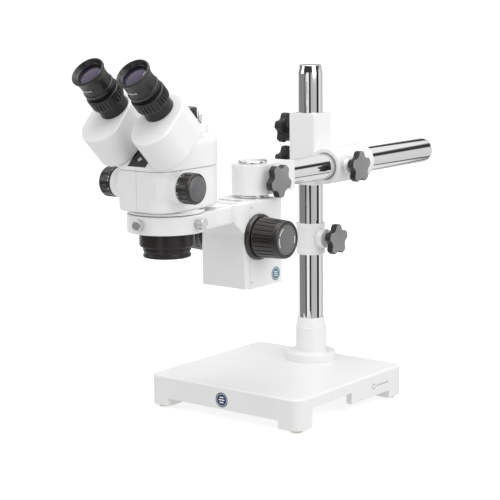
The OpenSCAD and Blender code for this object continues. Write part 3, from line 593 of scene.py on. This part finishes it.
def pod_outline(inset, n=24):
    """Plan of the head: a half round back and two round front corners"""
    r = (high("pod_flange").x - low("pod_flange").x) / 2 / MM
    half = 38.0
    cx = middle("pod_flange").x / MM
    front, corner = low("pod_body").y / MM, 22.0
    back = high("pod_body").y / MM - half
    pts = arc(cx, back, half - inset, 0, 180, 2 * n)
    pts += arc(cx - half + corner, front + corner, corner - inset, 180, 270, n)
    pts += arc(cx + half - corner, front + corner, corner - inset, 270, 360, n)
    return pts


WORLD = Matrix.Identity(4)


def cut_box(o, lo, hi, m=Matrix.Identity(4)):
    """Cuts a box out of a piece, for a joint line or a recess"""
    bm = bmesh.new()
    bmesh.ops.create_cube(bm, size=1)
    for v in bm.verts:
        v.co = m @ (Vector([(lo[i] + hi[i]) / 2 + v.co[i] * (hi[i] - lo[i]) for i in range(3)]) * MM)
    mesh = bpy.data.meshes.new("cutter")
    bm.to_mesh(mesh)
    bm.free()
    cutter = bpy.data.objects.new("cutter", mesh)
    bpy.context.scene.collection.objects.link(cutter)
    cut = o.modifiers.new("line", "BOOLEAN")
    cut.operation, cut.object, cut.solver = "DIFFERENCE", cutter, "EXACT"
    bpy.context.view_layer.update()
    done = bpy.data.meshes.new_from_object(o.evaluated_get(bpy.context.evaluated_depsgraph_get()))
    o.modifiers.clear()
    o.data = done
    done.shade_smooth()
    done.set_sharp_from_angle(angle=math.radians(50))
    bpy.data.objects.remove(cutter)


def make_pod():
    body_lo, body_hi = low("pod_body"), high("pod_body")
    z0, z1 = body_lo.z / MM, body_hi.z / MM
    cx = middle("pod_body").x / MM
    reach = (body_hi.x - body_lo.x) / 2 / MM
    zoom = Vector(JOINTS["zoom_knob_turn"]["pos_m"]) / MM
    bm = bmesh.new()
    loft(bm, WORLD, [(z0, pod_outline(2.2)), (z0 + 0.7, pod_outline(0.9)), (z0 + 2.4, pod_outline(0.1)),
                     (z0 + 12, pod_outline(0)), (z1, pod_outline(0))])
    flare = [(17.5, 48.4), (17.55, 45), (17.8, 42.5), (18.4, 40), (19.4, 37.5), (21, 35), (23.5, 32), (27, 28)]
    for sign in (-1, 1):
        m = place(Vector((cx + sign * (reach - 48.5), zoom.y, zoom.z)) * MM, X * sign, Y)
        lathe(bm, m, [(0, 48.5)] + [(r - (0.4 if z > 48 else 0), z) for r, z in flare] + [(27, 5), (0, 5)], 96)

    front = body_lo.y / MM

    def hold(p):
        z = min(max(p.z, z0), z1)
        y = max(p.y, front)
        return Vector((p.x, y, z))
    shell = piece("pod_shell", fused(bm, 0.8, 14, 0.6, hold), PAINT, ["pod_body"], crease=50)
    cut_box(shell, (cx - 0.22, front - 3, z0 - 1), (cx + 0.22, front + 0.7, z1 + 1))


def make_cover():
    lo, hi = low("pod_cover"), high("pod_cover")
    cx = middle("pod_flange").x / MM
    z0 = lo.z / MM
    roof = low("photo_port").z / MM
    bm = bmesh.new()
    roof_ring = [(z0, pod_outline(-0.5)), (z0 + 0.6, pod_outline(-0.8)), (roof - 11, pod_outline(-0.6))]
    roof_ring += [(roof - 11 * (1 - math.sin(a)), pod_outline(11 * (1 - math.cos(a)) - 0.6))
                  for a in (0.3, 0.6, 0.9, 1.2, 1.4, 1.57)]
    loft(bm, WORLD, roof_ring)
    tube = tube_frame(1)
    n = tube.to_3x3() @ Z
    seat_d = 43.3
    seat_y = (tube.translation / MM).y
    ridge_y = -253.0
    seat_at = lambda y: (tube.translation / MM).z - seat_d / math.sin(math.radians(45)) + (y - seat_y)
    wedge = [(-290.0, z0 + 4), (-290.0, seat_at(-290.0) + 2), (ridge_y, seat_at(ridge_y)),
             (ridge_y + 8, seat_at(ridge_y)), (-228.0, roof - 1), (-220.0, roof - 8), (-220.0, z0 + 4)]
    m = place((cx * MM, 0, 0), X, Y)
    half_width = 36.5
    loft(bm, m, [(-half_width, wedge), (half_width, wedge)])
    shape = fused(bm, 0.8, 8, 0.6)
    geom = shape.verts[:] + shape.edges[:] + shape.faces[:]
    plane = tube.translation - n * (seat_d * MM)
    bmesh.ops.bisect_plane(shape, geom=geom, plane_co=plane, plane_no=n, clear_outer=True)
    rim = [e for e in shape.edges if e.is_boundary]
    bmesh.ops.edgeloop_fill(shape, edges=rim)
    for v in shape.verts:
        v.co.z = max(v.co.z, z0 * MM)
    cover = piece("cover_shell", shape, PAINT, ["pod_cover"], crease=40)
    plate = (high("front_plate").x - low("front_plate").x) / 2 / MM + 0.2
    cut_box(cover, (-plate, -46.5, -seat_d - 1.2), (plate, -6, -seat_d + 5), tube_frame(0))
    front = lo.y / MM
    cut_box(cover, (cx - 0.22, front - 3, z0 - 1), (cx + 0.22, front + 0.9, z0 + 30))


def tube_frame(sign):
    """Frame of one eyetube, or of the middle for 0: origin on the barrel's face, z along it, y up the slope"""
    right, left = (Vector(JOINTS["dioptre_turn_" + side]["pos_m"]) for side in ("right", "left"))
    n = Vector(JOINTS["dioptre_turn_right"]["axis"])
    spot = (right + left) / 2 + (right - left) / 2 * sign
    return place(spot - n * 20 * MM, n, X)


def stadium(sign, inset, n=28):
    """Outline of a barrel: two equal circles and their tangents"""
    up, down, r = Vector((5 * sign, -2)), Vector((4 * sign, -24)), 26 - inset
    slope = math.degrees(math.atan2(up.y - down.y, up.x - down.x))
    return arc(up.x, up.y, r, slope - 90, slope + 90, n) + arc(down.x, down.y, r, slope + 90, slope + 270, n)


def make_barrels():
    length = 43.0
    for sign, side in ((1, "right"), (-1, "left")):
        m = tube_frame(sign)
        bm = bmesh.new()
        rings = [(-length, stadium(sign, 1.2)), (-length + 0.5, stadium(sign, 0.35)),
                 (-length + 1.4, stadium(sign, 0))]
        rings += [(-2.4 + 2.4 * math.sin(a), stadium(sign, 2.4 * (1 - math.cos(a))))
                  for a in (0, 0.26, 0.52, 0.78, 1.05, 1.3, 1.57)]
        loft(bm, m, rings)
        o = piece("barrel_shell_" + side, bm, PAINT, ["prism_housing_" + side], crease=40)
        o.modifiers.new("normals", "WEIGHTED_NORMAL").keep_sharp = True
        bm = bmesh.new()
        lathe(bm, m, soften([(15.05, -5), (16, -5), (16, 0.02), (17.6, 0.02, 0.4), (17.1, 1.4, 0.5), (17, 3),
                             (17, 11.6, 0.4), (16.5, 12), (16.5, 29, 0.3), (15.05, 29, 0.2)], closed=True),
              closed=True)
        piece("eyetube_sleeve_" + side, bm, ANODISED, ["eyetube_" + side])
        bm = bmesh.new()
        wave = groove_wave(30, 1.15, 0.34, 14.6, 26.4, 0.8)
        lathe(bm, m, soften([(16.6, 12.35), (18.6, 12.35, 0.3), (19.6, 13.2, 0.4), (19.9, 14.4), (19.95, 17),
                             (19.95, 20), (19.95, 23), (19.9, 26.2), (19.4, 27.4, 0.4), (18.6, 27.95, 0.3),
                             (16.6, 27.95)], closed=True), 30 * 14, wave, closed=True)
        piece("dioptre_grip_" + side, bm, CUP_BLACK, ["dioptre_ring_" + side], crease=28)
        make_eyepiece(side, m)


def make_eyepiece(side, m):
    bm = bmesh.new()
    lathe(bm, m, soften([(12.5, 2), (14.95, 2, 0.3), (14.95, 32), (18.0, 32, 0.3), (18.4, 32.5, 0.3),
                         (18.4, 35.9, 0.6), (17.9, 36.6, 0.3), (17.3, 36.9, 0.3), (17.35, 38, 0.3),
                         (17.15, 41), (17.05, 45), (17.2, 48.5), (17.8, 52.0), (19.0, 55.0, 1.0),
                         (19.75, 56.6, 0.8), (19.75, 57.9, 0.7), (19.0, 59.0, 0.8), (17.9, 59.0, 0.9),
                         (16.8, 57.4, 0.6), (15.2, 55.0, 0.5), (14.4, 54.4, 0.3), (14.0, 53.6), (14.0, 49),
                         (12.5, 49)], closed=True), 128, closed=True)
    for k in range(9):
        tall = 2.6 if k % 4 == 0 else 1.6
        a = math.radians(-112 + 5.2 * k)
        r = 17.12
        tick = [(-0.28, -tall / 2), (0.28, -tall / 2), (0.28, tall / 2), (-0.28, tall / 2)]
        spot = m @ Matrix.Translation(Vector((r * math.cos(a), r * math.sin(a), 44)) * MM)
        out = m.to_3x3() @ Vector((math.cos(a), math.sin(a), 0))
        mark = place(spot.translation, out, m.to_3x3() @ Vector((-math.sin(a), math.cos(a), 0)))
        loft(bm, mark, [(-0.3, tick), (0.07, tick)], 1)
    piece("eyepiece_body_" + side, bm, [CUP_BLACK, WHITE_PRINT], ["eyepiece_" + side], crease=32)
    # eye lens: opaque, its near-black colour paints the shade inside the eyetube
    bm = bmesh.new()
    lathe(bm, m, [(0, 49.1), (13.9, 49.1), (13.9, 51.6)]
          + [(13.85 * math.cos(a), 51.8 + 2.2 * math.sin(a)) for a in (0.12, 0.3, 0.5, 0.75, 1.0, 1.25, 1.45)]
          + [(0, 54.0)], 96)
    piece("eye_lens_glass_" + side, bm, LENS_PAINTED_SHADE, ["eye_lens_" + side])


def make_flange_and_mount():
    c = Vector(JOINTS["head_rotation"]["pos_m"])
    m = place((c.x, c.y, 0), Z)
    lo, hi = low("pod_flange"), high("pod_flange")
    z0, z1, r = lo.z / MM, hi.z / MM, (hi.x - c.x) / MM
    ring_z = high("head_holder").z / MM + 0.9
    bm = bmesh.new()
    lathe(bm, m, soften([(34, ring_z), (r, ring_z, 0.3), (r, z1 - 1.6, 0.8), (38, z1 - 1.0), (38, z1), (34, z1)],
                        closed=True), 128, closed=True)
    lathe(bm, m, soften([(33, z0), (38, z0, 0.3), (38, ring_z + 0.5), (33, ring_z + 0.5)], closed=True), 128,
          closed=True, look=1)
    piece("swivel_flange", bm, [PAINT, ANODISED], ["pod_flange"])
    bm = bmesh.new()
    z0, z1 = low("objective_mount").z / MM, high("objective_mount").z / MM
    lathe(bm, m, soften([(22, z0 + 8.5), (23.6, z0 + 8.2), (23.6, z0 + 0.5, 0.3), (24.6, z0, 0.2), (27.0, z0, 0.5),
                         (27.25, z0 + 2.6, 0.7), (26.2, z0 + 3.6, 0.8), (26.0, z0 + 5.4, 0.8),
                         (26.6, z0 + 6.6, 0.5), (27.2, z0 + 7.2, 0.4), (27.25, z0 + 11.6, 0.4),
                         (27.6, z0 + 12, 0.2), (30.2, z0 + 12, 0.6), (31.15, z0 + 13.2, 0.6),
                         (31.15, z1 - 6), (33, z1 - 6), (33, z1), (22, z1)], closed=True), 128, closed=True)
    lathe(bm, m, [(0, z0 + 14.6), (22.2, z0 + 14.6), (22.2, z0 + 8.6), (18, z0 + 9.5), (0, z0 + 9.5)], 64)
    piece("objective_barrel", bm, ANODISED, ["objective_mount"])
    # objective lenses: opaque, their near-black colour paints the shade inside the barrel
    bm = bmesh.new()
    for s in (-1, 1):
        lens = place((c.x + s * 10.5 * MM, c.y, 0), Z)
        lathe(bm, lens, [(0, z0 + 22), (9.4, z0 + 22), (9.4, z0 + 9.6)]
              + [(9.3 * math.cos(a), z0 + 9.5 - 1.3 * math.sin(a)) for a in (0.1, 0.4, 0.8, 1.2)]
              + [(0, z0 + 8.2)], 64)
    piece("objective_glass", bm, LENS_PAINTED_SHADE, ["objective_lenses"])


def zoom_knob(bm, m, length, ribs=12):
    wave = groove_wave(ribs, 1.1, 0.5, 3.4, length - 5.6, 0.5)
    r = 17.3
    lathe(bm, m, soften([(2.5, 0), (r - 0.5, 0, 0.2), (r, 0.5, 0.2), (r, 2.6, 0.2), (r, 3.2), (r, 4.2), (r, 7),
                         (r, length - 7), (r - 0.05, length - 5.8), (r - 0.1, length - 5.2, 0.2),
                         (r - 0.4, length - 4.4, 0.8), (15.0, length - 2.9, 0.8), (14.2, length - 2.9, 0.3),
                         (2.5, length - 3.2)], closed=True), ribs * 16, wave, closed=True)
    dome = [(14.1 * math.cos(a), length - 3.0 + 3.0 * math.sin(a)) for a in (0.0, 0.2, 0.45, 0.75, 1.05, 1.3, 1.5)]
    lathe(bm, m, [(0, length - 3.4), (14.1, length - 3.4)] + dome + [(0, length)], 96, look=1)
    for deg in (95, 128, 160, 192, 205, 238):
        a = math.radians(deg)
        radial = m.to_3x3() @ Vector((math.cos(a), math.sin(a), 0))
        spot = m @ (Vector((r * math.cos(a), r * math.sin(a), 1.7)) * MM)
        mark = place(spot, radial, m.to_3x3() @ Z)
        square = [(-0.6, -0.55), (0.6, -0.55), (0.6, 0.55), (-0.6, 0.55)]
        loft(bm, mark, [(-0.4, square), (0.05, square)], 2)


def make_zoom():
    for sign, side in ((1, "right"), (-1, "left")):
        node = "zoom_knob_" + side
        lo, hi = low(node), high(node)
        c = Vector(JOINTS["zoom_knob_turn"]["pos_m"])
        start = lo.x if sign > 0 else hi.x
        bm = bmesh.new()
        m = place((start, c.y, c.z), X * sign, Y)
        zoom_knob(bm, m, (hi.x - lo.x) / MM)
        piece("zoom_grip_" + side, bm, [KNOB_BLACK, DOME_GREY, WHITE_PRINT], [node], crease=28)
    body_hi = high("pod_body")
    zoom = Vector(JOINTS["zoom_knob_turn"]["pos_m"])
    spot = zoom + Vector((body_hi.x - zoom.x - 3.2 * MM, -11.5 * MM, 13.2 * MM))
    mark = place(spot, Vector((0, -11.5, 13.2)), X)
    bm = bmesh.new()
    lathe(bm, mark, soften([(0, -0.4), (0.7, -0.4), (0.7, 0.08, 0.1), (0, 0.12)]), 20)
    piece("zoom_index_dot", bm, GREY_PRINT, body="head")


def make_photo_port():
    c = middle("photo_port")
    m = place((c.x, c.y, 0), Z)
    z0, z1 = low("photo_port").z / MM, high("photo_port").z / MM
    r = (high("photo_port").x - c.x) / MM
    bm = bmesh.new()
    lathe(bm, m, soften([(12, z0), (r - 0.4, z0), (r, z0 + 0.5, 0.3), (r, z1, 2.2), (16.2, z1, 0.3),
                         (15.9, z1 - 0.5), (12, z1 - 0.5)], closed=True), closed=True)
    piece("photo_port_ring", bm, PAINT, ["photo_port"])
    z0, z1 = low("photo_tube").z / MM, high("photo_tube").z / MM
    bm = bmesh.new()
    lathe(bm, m, soften([(12, z0), (15.5, z0, 0.3), (15.5, z1 - 3.2, 0.2), (15.1, z1 - 2.8, 0.2),
                         (15.5, z1 - 2.4, 0.2), (15.5, z1, 0.5), (12, z1, 0.2)], closed=True), closed=True)
    piece("photo_tube_sleeve", bm, ANODISED, ["photo_tube"])
    z0, z1 = low("port_cap").z / MM, high("port_cap").z / MM
    bm = bmesh.new()
    rim = z1 - 4.0
    lathe(bm, m, soften([(0, z0), (11.95, z0, 0.4), (11.95, rim), (15.5, rim, 0.3), (15.5, z1 - 1.0, 0.3),
                         (14.4, z1, 0.4), (13.0, z1, 0.2), (12.6, z1 - 0.5, 0.2), (0, z1 - 0.5)]),
          144, groove_wave(48, 0.3, 0.5, rim + 0.4, z1 - 1.1, 0.3))
    piece("dust_cap", bm, KNOB_BLACK, ["port_cap"], crease=28)
    joint = JOINTS["port_thumb_turn"]
    axis = Vector(joint["axis"])
    start = Vector(joint["pos_m"])
    bm = bmesh.new()
    m = place(Vector((c.x, c.y, start.z)), axis, Z)
    knurl = groove_wave(32, 0.25, 0.5, 16.9, 20.1, 0.3)
    lathe(bm, m, soften([(0, 12.4), (2, 12.4), (2, 16.5), (6.1, 16.5, 0.2), (6.5, 17), (6.5, 18.5), (6.5, 20),
                         (6.1, 20.5, 0.2), (0, 20.5)]), 192, knurl)
    piece("port_thumb_screw", bm, NICKEL, ["port_screw"], crease=28)


def make_front_plate():
    softened("front_cover_plate", "front_plate", KNOB_BLACK, [(0.25, lambda p: True)])
    node = NODES["pod_screws"]
    node.data.materials.clear()
    node.data.materials.append(NICKEL)


def make_badges():
    face = low("base_casting").y
    m = place((0, face, 26 * MM), -Y, X)
    ring = arc(0, 0, 9.3, 0, 360, 60)[:-1]
    band = arc(0, 0, 7.9, 0, 360, 60)[:-1]
    inner = arc(0, 0, 7.3, 0, 360, 60)[:-1]
    stripes = [(1, round_at(0, dz, w, 1.5)) for dz, w in ((-3.2, 6), (0, 9), (3.2, 6))]
    decal("front_badge", m, [(0, ring), (1, band), (0, inner)] + stripes, [NAVY, WHITE_PRINT], "stand",
          lift=0.1)
    m = place((high("base_casting").x, 0, 26.5 * MM), X, Y)
    marks = [(0, arc(46, 0, 3.6, 0, 360, 32)[:-1]), (1, arc(46, 0, 2.6, 0, 360, 32)[:-1])]
    marks += [(0, [(x, -0.8), (x + 5.2, -0.8), (x + 5.2, 0.8), (x, 0.8)]) for x in (53, 60, 67, 74)]
    decal("side_mark", m, marks, [GREY_PRINT, BASE_PAINT], "stand", lift=0.06)


# ---------- stage ----------

def make_stage():
    bpy.ops.mesh.primitive_circle_add(vertices=96, radius=30, fill_type="NGON", location=(0, 0, 0))
    floor = bpy.context.object
    floor.name = "floor"
    pale = shader("pale_floor", (0.76, 0.76, 0.76), 0.8, mottle=0.004, mottle_scale=3, rough_spread=0.02,
                  grain=0.1, grain_scale=200, Emission_Color=(1, 1, 1, 1), Emission_Strength=0.5,
                  Specular_IOR_Level=0.1)
    floor.data.materials.append(pale)
    floor.visible_glossy = False
    floor.visible_diffuse = False
    target = Vector((0.02, -0.05, 0.24))
    for name, spot, size, power in (("top_box", (0.25, -0.15, 1.7), 1.4, 14),
                                    ("right_box", (1.75, -0.35, 0.9), 1.2, 9.5),
                                    ("left_box", (-1.3, -1.5, 0.9), 1.0, 4.5)):
        light = bpy.data.lights.new(name, "AREA")
        light.shape, light.size, light.energy = "SQUARE", size, power
        o = bpy.data.objects.new(name, light)
        o.location = spot
        o.rotation_mode = "QUATERNION"
        o.rotation_quaternion = (Vector(spot) - target).to_track_quat("Z", "Y")
        bpy.context.scene.collection.objects.link(o)


def make_world():
    """White studio; polished metal sees it with dark and grey panels standing round it"""
    world = bpy.data.worlds.new("studio")
    world.use_nodes = True
    nodes, links = world.node_tree.nodes, world.node_tree.links
    nodes.clear()
    coords = nodes.new("ShaderNodeTexCoord")
    split = nodes.new("ShaderNodeSeparateXYZ")
    links.new(coords.outputs["Generated"], split.inputs["Vector"])

    def maths(kind, a, b=None):
        n = nodes.new("ShaderNodeMath")
        n.operation = kind
        for socket, value in zip(n.inputs, (a, b)):
            if hasattr(value, "is_output"):
                links.new(value, socket)
            elif value is not None:
                socket.default_value = value
        return n.outputs[0]

    angle = maths("ARCTAN2", split.outputs["Y"], split.outputs["X"])
    turn = maths("ADD", maths("DIVIDE", angle, 2 * math.pi), 0.5)

    def ramp(fac, stops):
        n = nodes.new("ShaderNodeValToRGB")
        links.new(fac, n.inputs["Fac"])
        while len(n.color_ramp.elements) < len(stops):
            n.color_ramp.elements.new(0.5)
        for element, (position, shade) in zip(n.color_ramp.elements, stops):
            element.position = position
            element.color = (shade, shade, shade * 0.97 if shade < 0.5 else shade, 1)
        return n.outputs["Color"]

    towards = (math.degrees(math.atan2(CAMERA_SPOT.y - TARGET_Y, CAMERA_SPOT.x)) + 180) / 360
    steps = [(-180, 0.27), (-52, 0.27), (-50, 0.02), (-39, 0.02), (-37, 1.0), (-13, 1.0), (-11, 0.03), (4, 0.03),
             (6, 0.55), (60, 0.62), (63, 0.02), (84, 0.02), (87, 1.0), (180, 1.0)]
    stops = sorted(((towards + deg / 360) % 1.0, shade) for deg, shade in steps)
    band = ramp(turn, stops)
    height = maths("ADD", maths("MULTIPLY", maths("ARCSINE", split.outputs["Z"]), 1 / math.pi), 0.5)
    level = ramp(height, [(0.0, 0), (0.36, 0), (0.39, 1), (0.56, 1), (0.585, 0), (1.0, 0)])
    over = ramp(height, [(0.0, 0.85), (0.33, 0.9), (0.338, 0.1), (0.35, 0.1), (0.358, 0.9), (0.56, 0.04),
                         (0.64, 0.05), (0.66, 1.0), (1.0, 1.0)])
    mix = nodes.new("ShaderNodeMix")
    mix.data_type = "RGBA"
    links.new(level, mix.inputs["Factor"])
    links.new(over, mix.inputs["A"])
    links.new(band, mix.inputs["B"])
    rays = nodes.new("ShaderNodeLightPath")
    plain = nodes.new("ShaderNodeBackground")
    plain.inputs["Color"].default_value = (1, 1, 1, 1)
    plain.inputs["Strength"].default_value = 0.82
    seen = nodes.new("ShaderNodeBackground")
    seen.inputs["Color"].default_value = (1, 1, 1, 1)
    seen.inputs["Strength"].default_value = 1.1
    panels = nodes.new("ShaderNodeBackground")
    links.new(mix.outputs["Result"], panels.inputs["Color"])
    first = nodes.new("ShaderNodeMixShader")
    second = nodes.new("ShaderNodeMixShader")
    out = nodes.new("ShaderNodeOutputWorld")
    links.new(rays.outputs["Is Glossy Ray"], first.inputs["Fac"])
    links.new(plain.outputs[0], first.inputs[1])
    links.new(panels.outputs[0], first.inputs[2])
    links.new(rays.outputs["Is Camera Ray"], second.inputs["Fac"])
    links.new(first.outputs[0], second.inputs[1])
    links.new(seen.outputs[0], second.inputs[2])
    links.new(second.outputs[0], out.inputs["Surface"])
    bpy.context.scene.world = world


CAMERA_SPOT = Vector((1.1903, -1.5893, 0.5341))
TARGET_Y = 0.0


def make_camera():
    az, el, roll = math.radians(37.807), math.radians(9.634), math.radians(-0.566)
    forward = Vector((-math.sin(az) * math.cos(el), math.cos(az) * math.cos(el), -math.sin(el)))
    right = Vector((math.cos(az), math.sin(az), 0))
    up = right.cross(forward)
    x_axis = right * math.cos(roll) + up * math.sin(roll)
    y_axis = up * math.cos(roll) - right * math.sin(roll)
    data = bpy.data.cameras.new("camera")
    data.lens, data.sensor_width = 114.43, 36
    camera = bpy.data.objects.new("camera", data)
    m = Matrix((x_axis, y_axis, -forward)).transposed().to_4x4()
    m.translation = CAMERA_SPOT
    camera.matrix_world = m
    bpy.context.scene.collection.objects.link(camera)
    bpy.context.scene.camera = camera


for node_name, node_object in NODES.items():
    node_object.data.materials.clear()
    node_object.data.materials.append(SLOT_LOOK[SLOT_OF[node_name]])

bpy.context.scene.view_settings.view_transform = "Standard"
make_camera()
make_world()
make_stage()
make_base()
make_column()
make_collar()
make_star("collar_star", "collar_knob", 1, Z)
make_star("upper_star", "upper_clamp_knob", -1, Z)
make_star("lower_star", "lower_clamp_knob", -1, Z)
make_star("arm_clamp_star", "arm_clamp_knob", 1, Z)
make_star("head_lock_star", "head_lock_knob", 1, -Z)
make_clamp()
make_arm_head()
make_focus_housing()
make_focus_drive()
make_holder()
make_thumb_screw("front_thumb_screw", "ring_screw_front", -Y, X)
make_thumb_screw("side_thumb_screw", "ring_screw_side", X, Y)
make_pod()
make_cover()
make_barrels()
make_flange_and_mount()
make_zoom()
make_photo_port()
make_front_plate()
make_badges()
